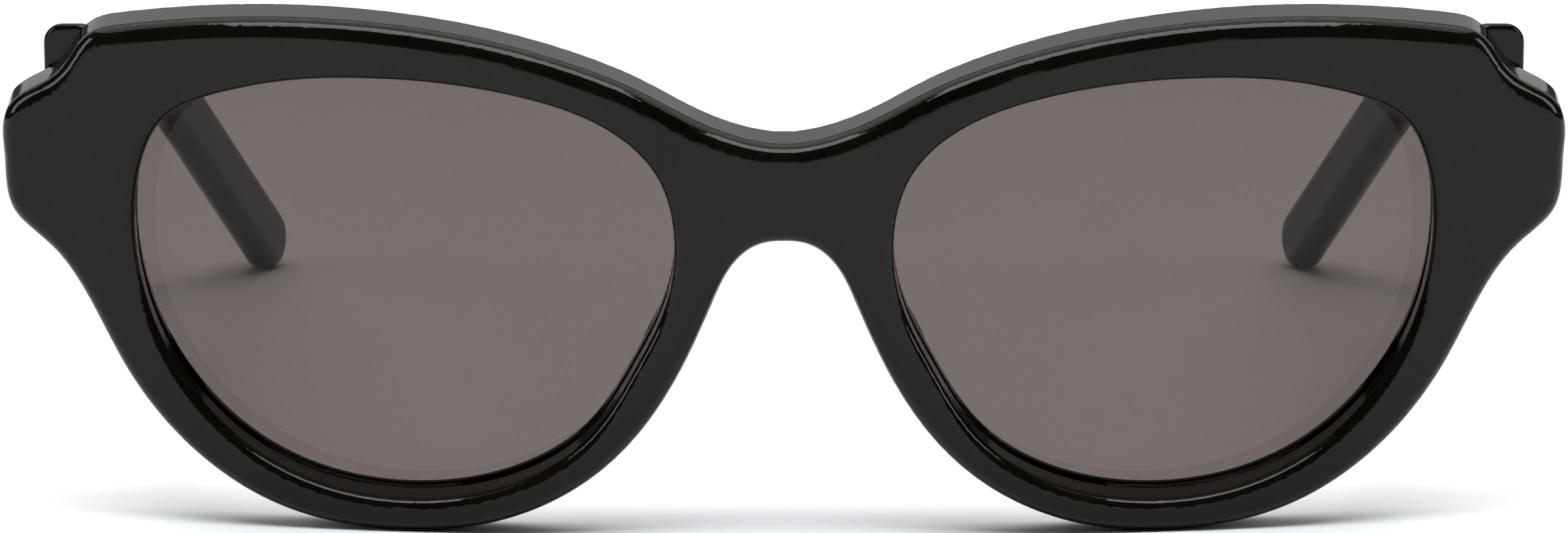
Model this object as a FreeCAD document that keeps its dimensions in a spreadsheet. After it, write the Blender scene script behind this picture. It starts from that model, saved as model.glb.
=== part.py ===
import FreeCAD, Part
import os
from math import cos, pi, radians, sin, sqrt, tan

import Sketcher
from FreeCAD import Placement, Rotation, Vector

# Cat eye sunglasses in acetate. Millimetres.
# Everything is first built about the lowest point of the front's face, on the centre line, with
# +X to the wearer's left, +Y back along the temples and +Z up. At the end the whole is moved so
# that the origin is at the bottom centre of its bounding box, on the table that it stands on.

DIMENSIONS = {
    # front: an acetate slab bent to a cylinder about a vertical axis, then leaned forward
    "slab_depth": 6.5,
    "face_radius": 240.0,
    "front_tilt": 7.0,
    "outer_rounding": 1.6,
    "back_rounding": 1.0,
    "aperture_rounding": 0.9,
    "aperture_back_rounding": 0.3,
    # lenses: spherical menisci whose edges sit in a groove
    "lens_radius": 132.5,
    "lens_thickness": 1.8,
    "lens_setback": 2.2,
    "lens_centre_across": 35.2,
    "lens_centre_height": 23.5,
    "lens_tuck": 0.65,
    "lens_bevel": 0.5,
    "groove_clearance": 0.05,
    # nose pads
    "pad_half_width": 2.0,
    "pad_half_depth": 4.6,
    "pad_half_height": 6.8,
    "pad_across": 10.5,
    "pad_height": 18.6,
    "pad_lean": 27.0,
    # hinges: five knuckles on one screw
    "pivot_across": 61.9,
    "pivot_height": 33.4,
    "pivot_setback": 3.0,
    "pivot_lean": 3.6,
    "knuckle_radius": 1.5,
    "knuckle_length": 1.25,
    "knuckle_gap": 0.1,
    "web_width": 1.8,
    "web_reach": 3.7,
    "plate_depth": 0.9,
    "front_plate_proud": 0.1,
    "temple_plate_proud": 0.3,
    "front_plate_width": 4.6,
    "front_plate_across": 63.3,
    "plate_height": 7.4,
    "temple_plate_length": 9.5,
    "screw_radius": 0.7,
    "running_clearance": 0.04,
    "screw_head_radius": 1.2,
    "screw_head_length": 0.8,
    "slot_width": 0.35,
    "slot_depth": 0.4,
    # temples
    "temple_outer": 69.2,
    "temple_thickness": 5.2,
    "tip_thickness": 3.6,
    "temple_top": 48.8,
    "temple_bottom": 28.0,
    "shoulder_back": 40.0,
    "shoulder_height": 42.6,
    "temple_top_slope": 8.1,
    "temple_bottom_slope": 1.9,
    "tip_across": 54.9,
    "tip_back": 141.2,
    "tip_height": 3.7,
    "tip_radius": 3.2,
    "tip_drop": 34.5,
    "tip_toe_in": 15.5,
    "bend_back": 104.0,
    "bend_across": 65.2,
    "top_rounding_radius": 250.0,
    "ear_bend_radius": 40.0,
    "toe_in_radius": 80.0,
    "temple_outer_rounding": 1.8,
    "temple_inner_rounding": 1.5,
    "temple_end_rounding": 0.5,
    "temple_gap": 0.3,
    # core wires
    "wire_radius": 0.7,
    "wire_start": 26.0,
    "wire_end_margin": 4.0,
    "wire_bend_radius": 40.0,
}

SIDES = {"left": 1, "right": -1}

# Half of the front's outline, as seen square on: distance from the centre line, height.
BROW = [(0, 38.2), (4.3, 38.9), (8.7, 40.7), (13, 43.0), (19.5, 45.6), (28.2, 47.8), (36.9, 48.9),
        (45.6, 49.1), (54.4, 48.45), (61.6, 47.3)]
LUG = [(64.2, 46.4), (65.5, 45.0), (66.7, 43.1), (68.2, 41.6), (70.3, 40.3), (71.7, 39.1),
       (72.5, 37.2), (72.45, 34), (72.3, 31.0), (71.6, 28.7), (70.2, 27.2), (67.8, 25.2)]
LOWER_RIM = [(65.7, 22.5), (61.4, 14.5), (57, 8.6), (52.6, 4.8), (48.2, 2.3), (42.7, 0.6),
             (36.1, 0), (29.5, 0.5), (24, 2.1), (19.6, 4.4), (15.3, 7.95)]
NOSE_ARCH = [(10.9, 13.8), (8.7, 18.0), (6.5, 23.1), (4.3, 27.1), (2.2, 28.6), (0, 28.9)]

# One lens aperture: its nasal half from the top down, then its temporal half from the bottom up.
NASAL_EDGE = [(36.5, 43.8), (29.75, 43.4), (23, 42.2), (16.3, 39.6), (11.9, 35.5), (10.1, 29),
              (11.1, 22.2), (13.8, 16.5), (18.2, 9.7), (23.3, 6.0), (28.5, 4.1), (35.3, 3.3)]
TEMPORAL_EDGE = [(35.3, 3.3), (42.2, 4.15), (49, 7.1), (54.1, 11.6), (57.7, 17.1), (59.6, 22.7),
                 (60.24, 28.4), (59.6, 34.1), (57.3, 38.8), (51.8, 41.7), (45, 43.3), (36.5, 43.8)]

# Lengths that only have to be long enough: past half of the object, through the whole of it,
# and through one lens.
THROUGH = 80.0
PAD_LENGTH = 320.0
PRISM_LENGTH = 60.0

document = FreeCAD.newDocument("cat_eye_sunglasses")


# ---- shared tools ----

def make_sheet():
    """The driving dimensions, one row each, with the value's alias beside it."""
    sheet = document.addObject("Spreadsheet::Sheet", "Dimensions")
    for row, (name, value) in enumerate(DIMENSIONS.items(), 1):
        sheet.set(f"A{row}", name)
        sheet.set(f"B{row}", str(value))
        sheet.setAlias(f"B{row}", name)
    document.recompute()
    return sheet


SHEET = make_sheet()


def size(name):
    return float(SHEET.get(name))


def bind(thing, **expressions):
    """Ties properties to cells of the sheet. A bare alias is enough for an expression."""
    for prop, expression in expressions.items():
        for name in sorted(DIMENSIONS, key=len, reverse=True):
            expression = expression.replace(f"<{name}>", f"Dimensions.{name}")
        thing.setExpression(prop.replace("__", "."), expression)


def new_body(label):
    body = document.addObject("PartDesign::Body", label)
    body.Label = label
    return body


def new_sketch(body, name, role, geometry, offset=None):
    """A sketch on one of the body's own origin planes, filled with that geometry."""
    plane = next(f for f in body.Origin.OriginFeatures if f.Role == role)
    sketch = body.newObject("Sketcher::SketchObject", name)
    sketch.AttachmentSupport = [(plane, "")]
    sketch.MapMode = "FlatFace"
    if offset is not None:
        sketch.AttachmentOffset = offset
    sketch.addGeometry(geometry, False)
    return sketch


def pad_through(body, sketch, name):
    pad = body.newObject("PartDesign::Pad", name)
    pad.Profile = sketch
    pad.Midplane = True
    pad.Length = PAD_LENGTH
    return pad


def cut_through(body, sketch, name):
    pocket = body.newObject("PartDesign::Pocket", name)
    pocket.Profile = sketch
    pocket.Type = "ThroughAll"
    pocket.Midplane = True
    return pocket


def round_edges(body, base, name, edges, radius_name):
    """A fillet on those edges of the base feature, with its radius tied to the sheet."""
    names = [f"Edge{i}" for i, edge in enumerate(base.Shape.Edges, 1)
             if any(edge.isSame(other) for other in edges)]
    fillet = body.newObject("PartDesign::Fillet", name)
    fillet.Base = (base, names)
    fillet.Radius = size(radius_name)
    bind(fillet, Radius=f"<{radius_name}>")
    document.recompute()
    return fillet


def segments(points, closed=False):
    """Straight sketch lines from point to point."""
    vectors = [Vector(x, y, 0) for x, y in points]
    following = vectors[1:] + (vectors[:1] if closed else [])
    return [Part.LineSegment(a, b) for a, b in zip(vectors, following)]


def frame_rectangle():
    """A rectangle larger than the object, for cutting away all that is outside a shape."""
    reach = 3 * THROUGH
    return segments([(-reach, -reach), (reach, -reach), (reach, reach), (-reach, reach)], True)


def spline(points, side):
    """A smooth curve through the points, level at both ends: it sets out to one side and ends
    heading back to the other. Its parameter is the distance along the points."""
    vectors = [Vector(x, y, 0) for x, y in points]
    distances = [0.0]
    for here, there in zip(vectors, vectors[1:]):
        distances.append(distances[-1] + here.distanceToPoint(there))
    curve = Part.BSplineCurve()
    curve.interpolate(Points=vectors, Parameters=distances, InitialTangent=Vector(side, 0, 0),
                      FinalTangent=Vector(-side, 0, 0), Scale=False)
    return curve


def rounded_path(corners, radii):
    """Straight runs through the corners, joined by tangent arcs of the given radii."""
    points = [Vector(*corner) for corner in corners]
    pieces = []
    last = points[0]
    for before, corner, after, radius in zip(points, points[1:], points[2:], radii):
        back = (before - corner).normalize()
        onward = (after - corner).normalize()
        half_turn = (pi - back.getAngle(onward)) / 2
        reach = radius * tan(half_turn)
        middle = (back + onward).normalize()
        centre = corner + middle * (radius / cos(half_turn))
        pieces.append(Part.LineSegment(last, corner + back * reach))
        pieces.append(Part.Arc(corner + back * reach, centre - middle * radius,
                               corner + onward * reach))
        last = corner + onward * reach
    pieces.append(Part.LineSegment(last, points[-1]))
    return pieces


def line_meeting(a, b, c, d):
    """Where the line through a and b meets the line through c and d."""
    abx, aby, cdx, cdy = b[0] - a[0], b[1] - a[1], d[0] - c[0], d[1] - c[1]
    along = ((c[0] - a[0]) * cdy - (c[1] - a[1]) * cdx) / (abx * cdy - aby * cdx)
    return a[0] + abx * along, a[1] + aby * along


def falling(point, slope):
    """A second point on the line that falls through the first at that slope in degrees."""
    return point[0] + cos(radians(slope)), point[1] - sin(radians(slope))


def sag(across, depth=0.0):
    """How far back the slab is at that distance from the centre line, that deep in the slab."""
    radius = size("face_radius")
    return radius - sqrt((radius - depth) ** 2 - across ** 2)


def front_tilt():
    """Stands the upright front as it leans in use, its top towards the viewer."""
    return Placement(Vector(), Rotation(Vector(1, 0, 0), size("front_tilt")))


def part_box(name, length, width, height, placement):
    """A box whose sizes are numbers or sheet expressions."""
    box = document.addObject("Part::Box", name)
    for prop, value in (("Length", length), ("Width", width), ("Height", height)):
        bind(box, **{prop: value})
    box.Placement = placement
    return box


def part_cylinder(name, radius, height, placement):
    cylinder = document.addObject("Part::Cylinder", name)
    bind(cylinder, Radius=radius, Height=height)
    cylinder.Placement = placement
    return cylinder


def combine(kind, name, *shapes):
    """A Part boolean: Cut and Common take a base and a tool, MultiFuse takes any number."""
    result = document.addObject(f"Part::{kind}", name)
    if kind == "MultiFuse":
        result.Shapes = list(shapes)
    else:
        result.Base, result.Tool = shapes
    return result


# ---- front ----

def front_outline():
    """The front's outline: two mirrored halves that meet level on the centre line."""
    half = BROW + LUG + LOWER_RIM + NOSE_ARCH
    return [spline([(side * x, z) for x, z in half], side) for side in SIDES.values()]


def slab_section():
    """The slab from above: a strip between two arcs about one vertical axis."""
    reach = THROUGH
    back_reach = reach * (size("face_radius") - size("slab_depth")) / size("face_radius")
    depth = size("slab_depth")
    face_end = (reach, sag(reach))
    back_end = (back_reach, sag(back_reach, depth))
    face = Part.Arc(Vector(-reach, face_end[1], 0), Vector(), Vector(reach, face_end[1], 0))
    back = Part.Arc(Vector(-back_reach, back_end[1], 0), Vector(0, depth, 0),
                    Vector(back_reach, back_end[1], 0))
    ends = [Part.LineSegment(Vector(side * reach, face_end[1], 0),
                             Vector(side * back_reach, back_end[1], 0)) for side in (1, -1)]
    return [face, back] + ends


def cylinder_face(shape, radius):
    """The largest face of that radius: the slab's front or back."""
    faces = [f for f in shape.Faces
             if isinstance(f.Surface, Part.Cylinder) and abs(f.Surface.Radius - radius) < 0.001]
    return max(faces, key=lambda face: face.Area)


def aperture(side, grow=0.0):
    """An aperture's edge as two curves, moved outward by grow, square to itself."""
    curves = []
    for points, heading in ((NASAL_EDGE, -side), (TEMPORAL_EDGE, side)):
        edge = spline([(side * x, z) for x, z in points], heading)
        moved = []
        for x, z in points:
            at = Vector(side * x, z, 0)
            tangent = edge.tangent(edge.parameter(at))[0]
            moved.append((at.x + side * tangent.y * grow, at.y - side * tangent.x * grow))
        curves.append(spline(moved, heading))
    return curves


def make_front_blank():
    body = new_body("front_blank")
    outline = new_sketch(body, "front_outline", "XZ_Plane", front_outline())
    pad_through(body, outline, "front_pad")
    section = new_sketch(body, "slab_section", "XY_Plane", frame_rectangle() + slab_section())
    slab = cut_through(body, section, "slab_cut")
    document.recompute()
    face_radius = size("face_radius")
    face = cylinder_face(slab.Shape, face_radius)
    outer = round_edges(body, slab, "outer_fillet", face.Edges, "outer_rounding")
    back = cylinder_face(outer.Shape, face_radius - size("slab_depth"))
    rounded = round_edges(body, outer, "back_fillet", back.Edges, "back_rounding")
    holes = new_sketch(body, "apertures", "XZ_Plane", aperture(1) + aperture(-1))
    opened = cut_through(body, holes, "aperture_cut")
    document.recompute()
    assert opened.Shape.Volume < rounded.Shape.Volume
    face = cylinder_face(opened.Shape, face_radius)
    inner = [edge for wire in face.Wires if not wire.isSame(face.OuterWire) for edge in wire.Edges]
    softened = round_edges(body, opened, "aperture_fillet", inner, "aperture_rounding")
    back = cylinder_face(softened.Shape, face_radius - size("slab_depth"))
    inner = [edge for wire in back.Wires if not wire.isSame(back.OuterWire) for edge in wire.Edges]
    round_edges(body, softened, "aperture_back_fillet", inner, "aperture_back_rounding")
    body.Placement = front_tilt()
    return body


# ---- lenses ----

def lens_sphere_centre(side):
    """The common centre of the lens's two spheres, in the upright front."""
    across = size("lens_centre_across")
    radius = size("face_radius")
    inward = Vector(-side * across / radius, sqrt(1 - (across / radius) ** 2), 0)
    face_point = Vector(side * across, sag(across), size("lens_centre_height"))
    return face_point + inward * (size("lens_setback") + size("lens_radius"))


def meniscus(name, side, grow, clearance):
    """A spherical shell trimmed to the aperture's outline, grown by grow; clearance thickens it."""
    centre = lens_sphere_centre(side)
    spheres = []
    for surface, radius in (("front", f"<lens_radius> + {clearance}"),
                            ("back", f"<lens_radius> - <lens_thickness> - {clearance}")):
        sphere = document.addObject("Part::Sphere", f"{name}_{surface}_sphere")
        bind(sphere, Radius=radius)
        sphere.Placement = front_tilt().multiply(Placement(centre, Rotation()))
        spheres.append(sphere)
    shell = combine("Cut", f"{name}_shell", *spheres)
    body = new_body(f"{name}_prism")
    sketch = new_sketch(body, f"{name}_outline", "XZ_Plane", aperture(side, grow))
    pad = body.newObject("PartDesign::Pad", f"{name}_pad")
    pad.Profile = sketch
    pad.Midplane = True
    pad.Length = PRISM_LENGTH
    body.Placement = front_tilt()
    return combine("Common", name, shell, body)


def on_sphere(shape, edge):
    """True for the edges of the lens's optical faces, which are the ones with a bevel."""
    return any(isinstance(face.Surface, Part.Sphere) and any(edge.isSame(e) for e in face.Edges)
               for face in shape.Faces)


def make_lens(name, side):
    blank = meniscus(f"{name}_blank", side, size("lens_tuck"), "0")
    document.recompute()
    bevel = size("lens_bevel")
    lens = document.addObject("Part::Chamfer", name)
    lens.Base = blank
    lens.Edges = [(i, bevel, bevel) for i, edge in enumerate(blank.Shape.Edges, 1)
                  if on_sphere(blank.Shape, edge)]
    return lens


def make_groove(name, side):
    """The room for one lens: its blank, a little larger all round."""
    tuck = size("lens_tuck") + size("groove_clearance")
    return meniscus(name, side, tuck, "<groove_clearance>")


# ---- nose pads ----

def make_nose_pad(name, side):
    """Half of an upright egg, lying along the nasal rim and bonded flat to the slab's back."""
    across = size("pad_across")
    depth = size("slab_depth")
    egg = document.addObject("Part::Ellipsoid", f"{name}_egg")
    bind(egg, Radius1="<pad_half_height>", Radius2="<pad_half_width>", Radius3="<pad_half_depth>")
    lean = Rotation(Vector(0, 1, 0), -side * size("pad_lean"))
    place = Placement(Vector(side * across, sag(across, depth), size("pad_height")), lean)
    egg.Placement = front_tilt().multiply(place)
    axis = Placement(Vector(0, size("face_radius"), 0), Rotation())
    behind = part_cylinder(f"{name}_room", "<face_radius> - <slab_depth>", f"{THROUGH}",
                           front_tilt().multiply(axis))
    return combine("Common", name, egg, behind)


# ---- hinges ----

def pivot_point(side):
    """The hinge axis at the middle of its knuckles, square off the slab's back."""
    radius = size("face_radius") - size("slab_depth") - size("pivot_setback")
    across = size("pivot_across")
    depth = size("face_radius") - sqrt(radius ** 2 - across ** 2)
    return front_tilt().multVec(Vector(side * across, depth, size("pivot_height")))


def pivot_frame(side, along=0.0):
    """A frame on the hinge axis, its Z up the axis, which stands square to the temple's line."""
    lean = Placement(pivot_point(side), Rotation(Vector(1, 0, 0), -size("pivot_lean")))
    return lean.multiply(Placement(Vector(0, 0, along), Rotation()))


def knuckle_start(index):
    """Where a knuckle starts along the axis. They count from the bottom."""
    pitch = size("knuckle_length") + size("knuckle_gap")
    return (index - 2.5) * pitch + size("knuckle_gap") / 2


def knuckles(name, side, indexes, web_corner, web_size):
    """The named knuckles with the webs that join them to their plate."""
    pieces = []
    for index in indexes:
        frame = pivot_frame(side, knuckle_start(index))
        pieces.append(part_cylinder(f"{name}_knuckle_{index}", "<knuckle_radius>",
                                    "<knuckle_length>", frame))
        corner = Placement(Vector(*web_corner), Rotation())
        pieces.append(part_box(f"{name}_web_{index}", web_size[0], web_size[1],
                               "<knuckle_length>", frame.multiply(corner)))
    return pieces


def drilled(name, side, blank, radius):
    """The hinge half with the screw's hole down its knuckles."""
    drill = part_cylinder(f"{name}_drill", radius, "2 * <plate_height>",
                          pivot_frame(side, -size("plate_height")))
    return combine("Cut", name, blank, drill)


def make_front_hinge(name, side):
    """Three knuckles, whose webs run forward into a plate sunk in the slab's back."""
    across = size("front_plate_across")
    width, height, depth = (size(n) for n in ("front_plate_width", "plate_height", "plate_depth"))
    back_radius = size("face_radius") - size("slab_depth")
    turn = Placement(Vector(side * across, sag(across, size("slab_depth")), size("pivot_height")),
                     Rotation(Vector(sqrt(back_radius ** 2 - across ** 2), side * across, 0),
                              Vector(-side * across, sqrt(back_radius ** 2 - across ** 2), 0),
                              Vector(0, 0, 1), "ZXY"))
    proud = size("front_plate_proud")
    corner = Placement(Vector(-width / 2, proud - depth, -height / 2), Rotation())
    plate = part_box(f"{name}_plate", "<front_plate_width>", "<plate_depth>", "<plate_height>",
                     front_tilt().multiply(turn).multiply(corner))
    webs = knuckles(name, side, (0, 2, 4), (-size("web_width") / 2, -size("web_reach"), 0),
                    ("<web_width>", "<web_reach>"))
    return drilled(name, side, combine("MultiFuse", f"{name}_blank", plate, *webs),
                   "<screw_radius>")


def make_temple_hinge(name, side):
    """Two knuckles, whose webs run outward into a plate sunk in the temple's inner face."""
    inner_face = size("temple_outer") - size("temple_thickness")
    inner = inner_face - size("temple_plate_proud") - size("pivot_across")
    depth, length, height = (size(n) for n in ("plate_depth", "temple_plate_length",
                                               "plate_height"))
    plate_side = inner if side > 0 else -inner - depth
    corner = Placement(Vector(plate_side, -size("knuckle_radius"), -height / 2), Rotation())
    plate = part_box(f"{name}_plate", "<plate_depth>", "<temple_plate_length>", "<plate_height>",
                     pivot_frame(side).multiply(corner))
    reach = inner + depth
    webs = knuckles(name, side, (1, 3), (0 if side > 0 else -reach, -size("web_width") / 2, 0),
                    (f"{reach}", "<web_width>"))
    return drilled(name, side, combine("MultiFuse", f"{name}_blank", plate, *webs),
                   "<screw_radius> + <running_clearance>")


def make_hinge_screw(name, side):
    """A slotted screw: its head on the top knuckle, its end flush with the lowest."""
    start, top = knuckle_start(0), knuckle_start(4) + size("knuckle_length")
    length = top - start
    shank = part_cylinder(f"{name}_shank", "<screw_radius>", f"{length}", pivot_frame(side, start))
    head = part_cylinder(f"{name}_head", "<screw_head_radius>", "<screw_head_length>",
                         pivot_frame(side, top))
    head_radius = size("screw_head_radius")
    slot_floor = top + size("screw_head_length") - size("slot_depth")
    corner = Placement(Vector(-head_radius, -size("slot_width") / 2, 0), Rotation())
    slot = part_box(f"{name}_slot", "2 * <screw_head_radius>", "<slot_width>", "<slot_depth>",
                    pivot_frame(side, slot_floor).multiply(corner))
    return combine("Cut", name, combine("MultiFuse", f"{name}_blank", shank, head), slot)


# ---- temples ----

def temple_side_view():
    """The temple from the side, as distance back and height: two edges and a round tip."""
    drop = size("tip_drop")
    radius = size("tip_radius")
    back, height = size("tip_back"), size("tip_height")
    upward = (sin(radians(drop)) * radius, cos(radians(drop)) * radius)
    over = (back + upward[0], height + upward[1])
    under = (back - upward[0], height - upward[1])
    shoulder = (size("shoulder_back"), size("shoulder_height"))
    front_low = (0, size("temple_bottom"))
    top_bend = line_meeting(shoulder, falling(shoulder, size("temple_top_slope")),
                            over, falling(over, drop))
    low_bend = line_meeting(front_low, falling(front_low, size("temple_bottom_slope")),
                            under, falling(under, drop))
    bend_radius = size("ear_bend_radius")
    top = rounded_path([(0, size("temple_top")), shoulder, top_bend, over],
                       [size("top_rounding_radius"), bend_radius])
    bottom = rounded_path([under, low_bend, front_low], [bend_radius - 2 * radius])
    end = Part.Arc(Vector(*over, 0),
                   Vector(back + cos(radians(drop)) * radius, height - sin(radians(drop)) * radius, 0),
                   Vector(*under, 0))
    front = Part.LineSegment(Vector(*front_low, 0), Vector(0, size("temple_top"), 0))
    return top + [end] + bottom + [front]


def temple_line(side, offset):
    """The temple from above, offset outward from its middle line: straight, then toed in."""
    toe_in = size("tip_toe_in")
    thickness, tip_thickness = size("temple_thickness"), size("tip_thickness")
    share = offset / (thickness / 2)
    middle_front = size("temple_outer") - thickness / 2
    tip_offset = share * tip_thickness / 2
    tip = (size("tip_across") + tip_offset * cos(radians(toe_in)),
           size("tip_back") + tip_offset * sin(radians(toe_in)))
    front = (middle_front + offset, 0)
    bend = (size("bend_across") + tip_offset, size("bend_back"))
    beyond = 3 * size("tip_radius")
    end = (tip[0] - beyond * sin(radians(toe_in)), tip[1] + beyond * cos(radians(toe_in)))
    corner = line_meeting(front, bend, tip, end)
    return [(side * x, y) for x, y in (front, corner, end)]


def temple_plan_view(side):
    half = size("temple_thickness") / 2
    outer = temple_line(side, half)
    inner = temple_line(side, -half)
    radius = size("toe_in_radius")
    outer_edge = rounded_path(outer, [radius + half])
    inner_edge = rounded_path(inner, [radius - half])
    ends = [Part.LineSegment(Vector(*outer[i], 0), Vector(*inner[i], 0)) for i in (0, -1)]
    return outer_edge + inner_edge + ends


def temple_middle(back):
    """How far from the centre line the middle of the temple is, that far back."""
    front = size("temple_outer") - size("temple_thickness") / 2
    bend, bend_back = size("bend_across"), size("bend_back")
    if back < bend_back:
        return front + (bend - front) * back / bend_back
    return bend - (back - bend_back) * tan(radians(size("tip_toe_in")))


def mitre_frame(side):
    """A frame just behind the slab's back at the lug, facing back square to it."""
    across = size("temple_outer") - size("temple_thickness") / 2
    depth = size("slab_depth")
    radius = size("face_radius") - depth
    inward = Vector(-side * across / radius, sqrt(1 - (across / radius) ** 2), 0)
    at = Vector(side * across, sag(across, depth), 0) + inward * size("temple_gap")
    facing = Rotation(Vector(0, 0, 1).cross(inward) * -1, Vector(), inward, "ZXY")
    return front_tilt().multiply(Placement(at, facing))


def make_temple_blank(name, side):
    body = new_body(f"{name}_blank")
    profile = new_sketch(body, f"{name}_profile", "YZ_Plane", temple_side_view())
    pad_through(body, profile, f"{name}_pad")
    plan = new_sketch(body, f"{name}_plan", "XY_Plane", frame_rectangle() + temple_plan_view(side))
    strip = cut_through(body, plan, f"{name}_strip")
    document.recompute()
    outer = [edge for edge in strip.Shape.Edges if is_long_edge(edge) and is_outer(edge)]
    rounded = round_edges(body, strip, f"{name}_outer_fillet", outer, "temple_outer_rounding")
    inner = [edge for edge in rounded.Shape.Edges if is_long_edge(edge) and is_inner_corner(edge)]
    softened = round_edges(body, rounded, f"{name}_inner_fillet", inner, "temple_inner_rounding")
    mitre = new_sketch(body, f"{name}_mitre", "XY_Plane", frame_rectangle(), mitre_frame(side))
    pocket = body.newObject("PartDesign::Pocket", f"{name}_mitre_cut")
    pocket.Profile = mitre
    pocket.Length = THROUGH
    document.recompute()
    assert pocket.Shape.Volume < softened.Shape.Volume
    facing = mitre_frame(side).Rotation.multVec(Vector(0, 0, 1))
    end = next(f for f in pocket.Shape.Faces if isinstance(f.Surface, Part.Plane)
               and abs(abs(f.normalAt(0, 0).dot(facing)) - 1) < 0.0001)
    round_edges(body, pocket, f"{name}_end_fillet", end.Edges, "temple_end_rounding")
    return body


def edge_middle(edge):
    return edge.valueAt((edge.FirstParameter + edge.LastParameter) / 2)


def is_long_edge(edge):
    """False for the square front end, which is cut off later, and for upright joints."""
    box = edge.BoundBox
    return box.YMin > -0.001 and box.YLength > 1.0


def is_outer(edge):
    at = edge_middle(edge)
    return abs(at.x) > temple_middle(at.y)


def is_inner_corner(edge):
    """True for the sharp edges of the inner face, which the outer fillet leaves alone."""
    at = edge_middle(edge)
    return abs(at.x) < temple_middle(at.y) - size("tip_thickness") / 4


def make_core_wire(name, side):
    """A round wire: a straight run, one bend at the ear and a run down the tip."""
    front = Vector(side * temple_middle(size("wire_start")), size("wire_start"),
                   wire_height(size("wire_start")))
    tip_back = size("tip_back") - size("wire_end_margin")
    tip = Vector(side * temple_middle(tip_back), tip_back,
                 size("tip_height") + size("wire_end_margin") * tan(radians(size("tip_drop"))))
    bend = Vector(side * size("bend_across"), size("bend_back"), wire_height(size("bend_back")))
    line = rounded_path([front, bend, tip], [size("wire_bend_radius")])
    ring = Part.Wire([Part.makeCircle(size("wire_radius"), front, bend - front)])
    spine = Part.Wire([piece.toShape() for piece in line])
    wire = document.addObject("Part::Feature", name)
    wire.Shape = spine.makePipeShell([ring], True, False)
    return wire


def wire_height(back):
    """The height of the middle of the temple's straight part, that far back."""
    bend = size("bend_back")
    front_middle = (size("temple_top") + size("temple_bottom")) / 2
    bend_middle = size("tip_height") + (size("tip_back") - bend) * tan(radians(size("tip_drop")))
    return front_middle + (bend_middle - front_middle) * back / bend


# ---- assembly ----

def mirror_image(name, source):
    """The same piece for the wearer's other side."""
    image = document.addObject("Part::Mirroring", name)
    image.Source = source
    image.Normal = Vector(1, 0, 0)
    return image


def make_side(side_name, side, temple_blank):
    """One side's lens, pad, hinge, screw, temple and wire, by node name."""
    parts = {
        f"lens_{side_name}": make_lens(f"lens_{side_name}", side),
        f"nose_pad_{side_name}": make_nose_pad(f"nose_pad_{side_name}", side),
        f"front_hinge_{side_name}": make_front_hinge(f"front_hinge_{side_name}", side),
        f"temple_hinge_{side_name}": make_temple_hinge(f"temple_hinge_{side_name}", side),
        f"hinge_screw_{side_name}": make_hinge_screw(f"hinge_screw_{side_name}", side),
        f"core_wire_{side_name}": make_core_wire(f"core_wire_{side_name}", side),
    }
    temple = f"temple_{side_name}"
    wire = parts[f"core_wire_{side_name}"]
    document.recompute()
    buried = wire.Shape.common(temple_blank.Shape).Volume
    assert abs(buried / wire.Shape.Volume - 1) < 0.0001, f"{wire.Name} breaks out of its temple"
    drilled_blank = combine("Cut", f"{temple}_drilled", temple_blank, wire)
    parts[temple] = combine("Cut", temple, drilled_blank, parts[f"temple_hinge_{side_name}"])
    return parts


def make_all():
    parts = {}
    left_blank = make_temple_blank("temple_left", SIDES["left"])
    blanks = {"left": left_blank, "right": mirror_image("temple_right_blank", left_blank)}
    for side_name, side in SIDES.items():
        parts.update(make_side(side_name, side, blanks[side_name]))
    grooves = [make_groove(f"groove_{side_name}", side) for side_name, side in SIDES.items()]
    plates = [parts[f"front_hinge_{side_name}"] for side_name in SIDES]
    room = combine("MultiFuse", "front_recesses", *grooves, *plates)
    parts["front_frame"] = combine("Cut", "front_frame", make_front_blank(), room)
    document.recompute()
    return parts


def stand_at_origin(parts):
    """Moves every piece so that the bottom centre of the whole's box is the origin."""
    whole = FreeCAD.BoundBox()
    for part in parts.values():
        whole.add(part.Shape.optimalBoundingBox(False))
    move = Placement(Vector(-whole.Center.x, -whole.Center.y, -whole.ZMin), Rotation())
    placed = {}
    for name, part in parts.items():
        node = document.addObject("Part::Feature", f"{name}_node")
        shape = part.Shape.Solids[0]
        node.Shape = shape
        node.Placement = move
        part.Label = f"{name}_source"
        node.Label = name
        placed[name] = node
    return placed, move


def check_document(parts):
    """Stops before anything is written if an object failed or a shape is not sound."""
    failed = [o.Name for o in document.Objects if "Invalid" in o.State or "Error" in o.State]
    assert not failed, f"failed objects: {failed}"
    for name, part in parts.items():
        shape = part.Shape
        assert not shape.isNull() and shape.isValid(), f"{name} is not a sound shape"
        assert len(shape.Solids) == 1, f"{name} has {len(shape.Solids)} solids"


def write_parts(parts):
    os.makedirs("parts", exist_ok=True)
    for name, part in parts.items():
        part.Shape.exportStep(f"parts/{name}.step")


PARTS = make_all()
check_document(PARTS)
NODES, MOVE = stand_at_origin(PARTS)
check_document(NODES)
write_parts(NODES)
for side_name, side in SIDES.items():
    print("hinge", side_name, MOVE.multVec(pivot_point(side)),
          pivot_frame(side).Rotation.multVec(Vector(0, 0, 1)))
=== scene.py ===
import math

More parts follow.
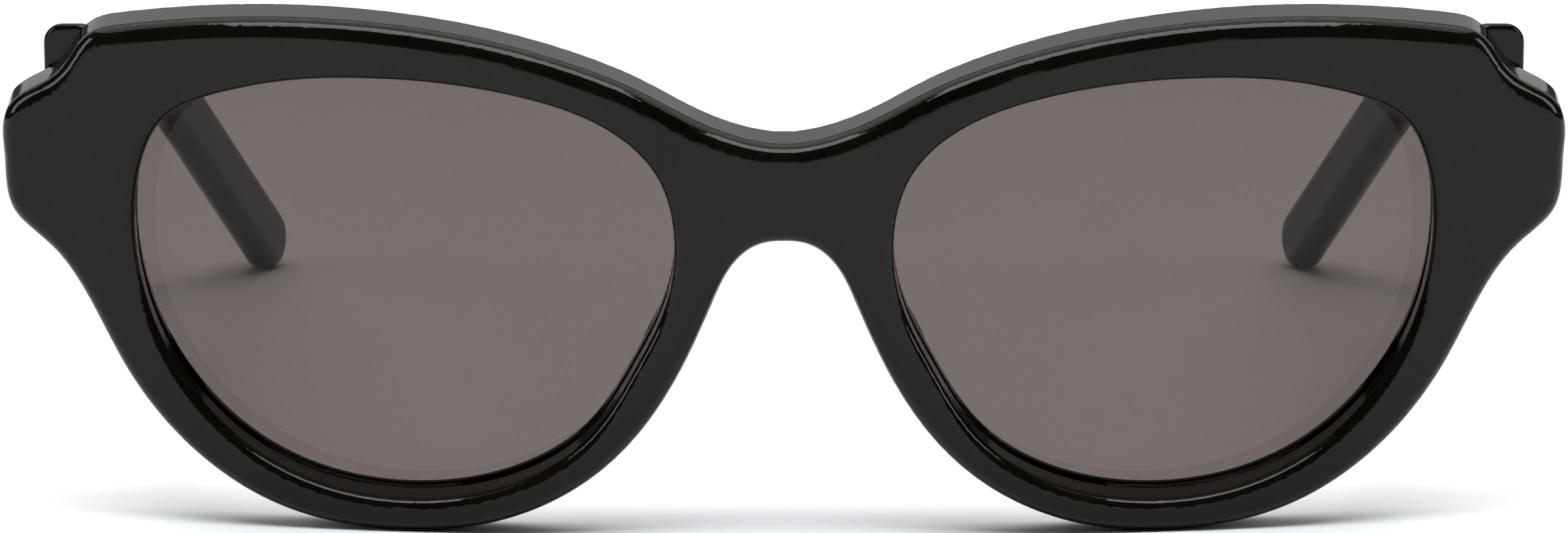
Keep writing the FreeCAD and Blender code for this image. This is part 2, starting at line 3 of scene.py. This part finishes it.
import bpy
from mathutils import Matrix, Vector


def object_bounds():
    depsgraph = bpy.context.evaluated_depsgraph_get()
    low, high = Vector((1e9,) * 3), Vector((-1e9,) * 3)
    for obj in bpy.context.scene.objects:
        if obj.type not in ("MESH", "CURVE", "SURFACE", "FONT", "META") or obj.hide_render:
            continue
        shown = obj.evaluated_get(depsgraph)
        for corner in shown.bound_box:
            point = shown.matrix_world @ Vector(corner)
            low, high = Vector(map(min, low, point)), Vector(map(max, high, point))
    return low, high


# Cat eye sunglasses in glossy black acetate, standing open on a pale floor.
# Metres. +X is towards the wearer's left, +Y back along the temples, +Z up.

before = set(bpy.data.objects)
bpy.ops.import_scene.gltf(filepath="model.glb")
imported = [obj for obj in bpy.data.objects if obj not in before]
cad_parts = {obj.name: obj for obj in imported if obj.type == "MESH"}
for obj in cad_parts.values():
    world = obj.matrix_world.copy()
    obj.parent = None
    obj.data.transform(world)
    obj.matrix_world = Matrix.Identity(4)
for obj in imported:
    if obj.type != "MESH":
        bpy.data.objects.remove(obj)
CAD_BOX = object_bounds()
SIDES = ("left", "right")

# The photograph's view: a long lens from slightly above, looking straight at the front.
CAMERA_ELEVATION = math.radians(10.3)
CAMERA_DISTANCE = 1.0
VIEW_WIDTH = 0.1444     # what the picture spans at the front's distance
SENSOR_WIDTH = 36.0     # in millimetres, as Blender has it
AIM_HEIGHT = 0.0243     # above the object's lowest point
AIM_BACK = 0.0016       # behind its foremost point
CAMERA_SHIFT = 0.0126   # the photograph sits a little low in its frame
CLIP_NEAR = 0.01
CLIP_FAR = 20.0

# Colours, as linear RGB.
WHITE = (1.0, 1.0, 1.0)
COOL_WHITE = (0.93, 0.97, 1.0)
ACETATE_DARK = (0.0016, 0.0013, 0.0005)
ACETATE_LIGHT = (0.0042, 0.0035, 0.0018)
LENS_GREY = (0.1275, 0.1075, 0.1005)
NICKEL_DARK = (0.42, 0.40, 0.37)
NICKEL_LIGHT = (0.62, 0.61, 0.59)
STEEL_DARK = (0.45, 0.45, 0.46)
STEEL_LIGHT = (0.66, 0.66, 0.67)
FLOOR_DARK = (0.86, 0.86, 0.86)
FLOOR_LIGHT = (0.9, 0.9, 0.9)

# Roughness where each surface is smoothest.
FRONT_POLISH = 0.045
TEMPLE_POLISH = 0.055
PAD_POLISH = 0.12
LENS_POLISH = 0.0
HINGE_SATIN = 0.22
SCREW_SATIN = 0.16
WIRE_SATIN = 0.2
# How much rougher it gets in patches.
ACETATE_HAZE = 0.05
LENS_SMEAR = 0.004
METAL_WEAR = 0.18
NOISE_LOW, NOISE_HIGH = 0.3, 0.7    # nearly all of a noise's values lie between these

FLOOR_REACH = 8.0       # from the middle to each edge
WORLD_STRENGTH = 0.06
LIGHT_TARGET = (0.0, 0.0, 0.02)
# Each light's place, its width and height, its power in watts and its colour.
LIGHTS = {
    "overhead": ((0.0, 0.2, 1.0), (1.6, 1.0), 9.0, WHITE),
    "front_softbox": ((0.0, -0.35, 0.9), (0.9, 0.4), 9.0, COOL_WHITE),
    "back_card": ((0.0, 1.3, 0.75), (2.6, 1.2), 6.5, WHITE),
    "left_wall": ((-0.9, -0.1, 0.35), (0.25, 0.5), 2.0, WHITE),
    "right_wall": ((0.9, -0.1, 0.35), (0.25, 0.5), 2.0, WHITE),
}


# ---- node helpers ----

def new_material(name):
    material = bpy.data.materials.new(name)
    material.use_nodes = True
    tree = material.node_tree
    shader = tree.nodes["Principled BSDF"]
    return material, tree, shader


def set_inputs(node, **inputs):
    """Sets a shader node's sockets by name, with underscores for spaces."""
    for name, value in inputs.items():
        node.inputs[name.replace("_", " ")].default_value = value


def add_node(tree, kind, **inputs):
    node = tree.nodes.new(kind)
    set_inputs(node, **inputs)
    return node


def noise(tree, scale, detail, roughness, stretch=None):
    """Noise over the object's own coordinates. A stretch under 1 draws it out on that axis."""
    coordinates = tree.nodes.new("ShaderNodeTexCoord")
    texture = add_node(tree, "ShaderNodeTexNoise", Scale=scale, Detail=detail, Roughness=roughness)
    source = coordinates.outputs["Object"]
    if stretch is not None:
        mapping = add_node(tree, "ShaderNodeMapping", Scale=stretch)
        tree.links.new(source, mapping.inputs["Vector"])
        source = mapping.outputs["Vector"]
    tree.links.new(source, texture.inputs["Vector"])
    return texture.outputs["Fac"]


def roughen(tree, shader, source, smoothest, more):
    """Roughness that follows a texture, from smoothest to that much more."""
    node = add_node(tree, "ShaderNodeMapRange", From_Min=NOISE_LOW, From_Max=NOISE_HIGH,
                    To_Min=smoothest, To_Max=smoothest + more)
    tree.links.new(source, node.inputs["Value"])
    tree.links.new(node.outputs["Result"], shader.inputs["Roughness"])


def colour(tree, shader, source, *stops):
    """Base colour that follows a texture: each of the two stops is its place and its colour."""
    ramp = tree.nodes.new("ShaderNodeValToRGB")
    for element, (place, rgb) in zip(ramp.color_ramp.elements, stops):
        element.position = place
        element.color = (*rgb, 1.0)
    tree.links.new(source, ramp.inputs["Fac"])
    tree.links.new(ramp.outputs["Color"], shader.inputs["Base Color"])


def bump(tree, shader, source, strength, distance):
    node = add_node(tree, "ShaderNodeBump", Strength=strength, Distance=distance)
    tree.links.new(source, node.inputs["Height"])
    tree.links.new(node.outputs["Normal"], shader.inputs["Normal"])


# ---- materials ----

def acetate(name, polish):
    """Tumble-polished black acetate: deep, faintly mottled, with a soft waviness in its gloss."""
    material, tree, shader = new_material(name)
    mottle = noise(tree, scale=90.0, detail=5.0, roughness=0.6, stretch=(1.0, 1.0, 0.35))
    colour(tree, shader, mottle, (0.35, ACETATE_DARK), (0.7, ACETATE_LIGHT))
    haze = noise(tree, scale=420.0, detail=6.0, roughness=0.65)
    roughen(tree, shader, haze, polish, ACETATE_HAZE)
    waves = noise(tree, scale=160.0, detail=2.0, roughness=0.4)
    bump(tree, shader, waves, strength=0.04, distance=0.00008)
    set_inputs(shader, IOR=1.48, Specular_IOR_Level=0.215)
    return material


def tinted_lens(name):
    """Dark grey lens: it passes a little neutral light and has a faint polished sheen."""
    material, tree, shader = new_material(name)
    set_inputs(shader, Base_Color=(*LENS_GREY, 1.0), Transmission_Weight=1.0, IOR=1.05,
               Coat_Weight=0.4, Coat_IOR=1.4, Coat_Roughness=0.01)
    smear = noise(tree, scale=60.0, detail=3.0, roughness=0.5)
    roughen(tree, shader, smear, LENS_POLISH, LENS_SMEAR)
    return material


def satin_metal(name, dark, light, stretch, satin):
    """Plated hinge metal with slight tarnish. Stretch sets which way its fine lines run."""
    material, tree, shader = new_material(name)
    tarnish = noise(tree, scale=300.0, detail=5.0, roughness=0.6)
    colour(tree, shader, tarnish, (0.3, dark), (0.75, light))
    lines = noise(tree, scale=900.0, detail=3.0, roughness=0.7, stretch=stretch)
    roughen(tree, shader, lines, satin, METAL_WEAR)
    bump(tree, shader, lines, strength=0.12, distance=0.00003)
    set_inputs(shader, Metallic=1.0)
    return material


def dress(node, material):
    """Gives a CAD node its procedural material."""
    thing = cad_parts[node]
    thing.data.materials.clear()
    thing.data.materials.append(material)


def dress_all():
    front = acetate("front_acetate", FRONT_POLISH)
    temple = acetate("temple_acetate", TEMPLE_POLISH)
    pad = acetate("pad_acetate", PAD_POLISH)
    lens = tinted_lens("grey_lens")
    hinge = satin_metal("hinge_nickel", NICKEL_DARK, NICKEL_LIGHT, (1, 1, 0.1), HINGE_SATIN)
    screw = satin_metal("screw_steel", STEEL_DARK, STEEL_LIGHT, (1, 1, 4), SCREW_SATIN)
    wire = satin_metal("core_nickel", NICKEL_DARK, NICKEL_LIGHT, (1, 0.1, 1), WIRE_SATIN)
    dress("front_frame", front)
    for side in SIDES:
        dress(f"temple_{side}", temple)
        dress(f"nose_pad_{side}", pad)
        dress(f"lens_{side}", lens)
        dress(f"front_hinge_{side}", hinge)
        dress(f"temple_hinge_{side}", hinge)
        dress(f"hinge_screw_{side}", screw)
        dress(f"core_wire_{side}", wire)


# ---- studio ----

def make_floor():
    """A plain pale floor, wide enough to fill the picture from every side."""
    corners = [(x * FLOOR_REACH, y * FLOOR_REACH, 0.0)
               for x, y in ((-1, -1), (1, -1), (1, 1), (-1, 1))]
    mesh = bpy.data.meshes.new("floor")
    mesh.from_pydata(corners, [], [(0, 1, 2, 3)])
    floor = bpy.data.objects.new("floor", mesh)
    bpy.context.scene.collection.objects.link(floor)
    material, tree, shader = new_material("pale_floor")
    tone = noise(tree, scale=2.0, detail=2.0, roughness=0.5)
    colour(tree, shader, tone, (0.3, FLOOR_DARK), (0.7, FLOOR_LIGHT))
    set_inputs(shader, Roughness=0.85, Specular_IOR_Level=0.0)
    mesh.materials.append(material)


def point_at(thing, place, direction):
    """Puts a light or camera at place, looking along direction."""
    thing.location = place
    thing.rotation_mode = "QUATERNION"
    thing.rotation_quaternion = direction.to_track_quat("-Z", "Y")


def area_light(name, place, width, height, watts, tint):
    data = bpy.data.lights.new(name, "AREA")
    data.shape = "RECTANGLE"
    data.size = width
    data.size_y = height
    data.energy = watts
    data.color = tint
    lamp = bpy.data.objects.new(name, data)
    bpy.context.scene.collection.objects.link(lamp)
    point_at(lamp, place, Vector(LIGHT_TARGET) - Vector(place))


def make_lights():
    for name, (place, (width, height), watts, tint) in LIGHTS.items():
        area_light(name, place, width, height, watts, tint)
    world = bpy.data.worlds.new("studio")
    world.use_nodes = True
    set_inputs(world.node_tree.nodes["Background"], Color=(*WHITE, 1.0), Strength=WORLD_STRENGTH)
    bpy.context.scene.world = world


def make_camera():
    """Straight on to the front, from a little above, framed as the photograph is."""
    low = CAD_BOX[0]
    aim = Vector((0.0, low.y + AIM_BACK, low.z + AIM_HEIGHT))
    away = Vector((0.0, -math.cos(CAMERA_ELEVATION), math.sin(CAMERA_ELEVATION)))
    data = bpy.data.cameras.new("camera")
    data.sensor_width = SENSOR_WIDTH
    data.lens = SENSOR_WIDTH * CAMERA_DISTANCE / VIEW_WIDTH
    data.shift_y = CAMERA_SHIFT
    data.clip_start = CLIP_NEAR
    data.clip_end = CLIP_FAR
    camera = bpy.data.objects.new("camera", data)
    bpy.context.scene.collection.objects.link(camera)
    point_at(camera, aim + away * CAMERA_DISTANCE, -away)
    bpy.context.scene.camera = camera


bpy.context.scene.view_settings.view_transform = "Standard"
dress_all()
make_floor()
make_lights()
make_camera()
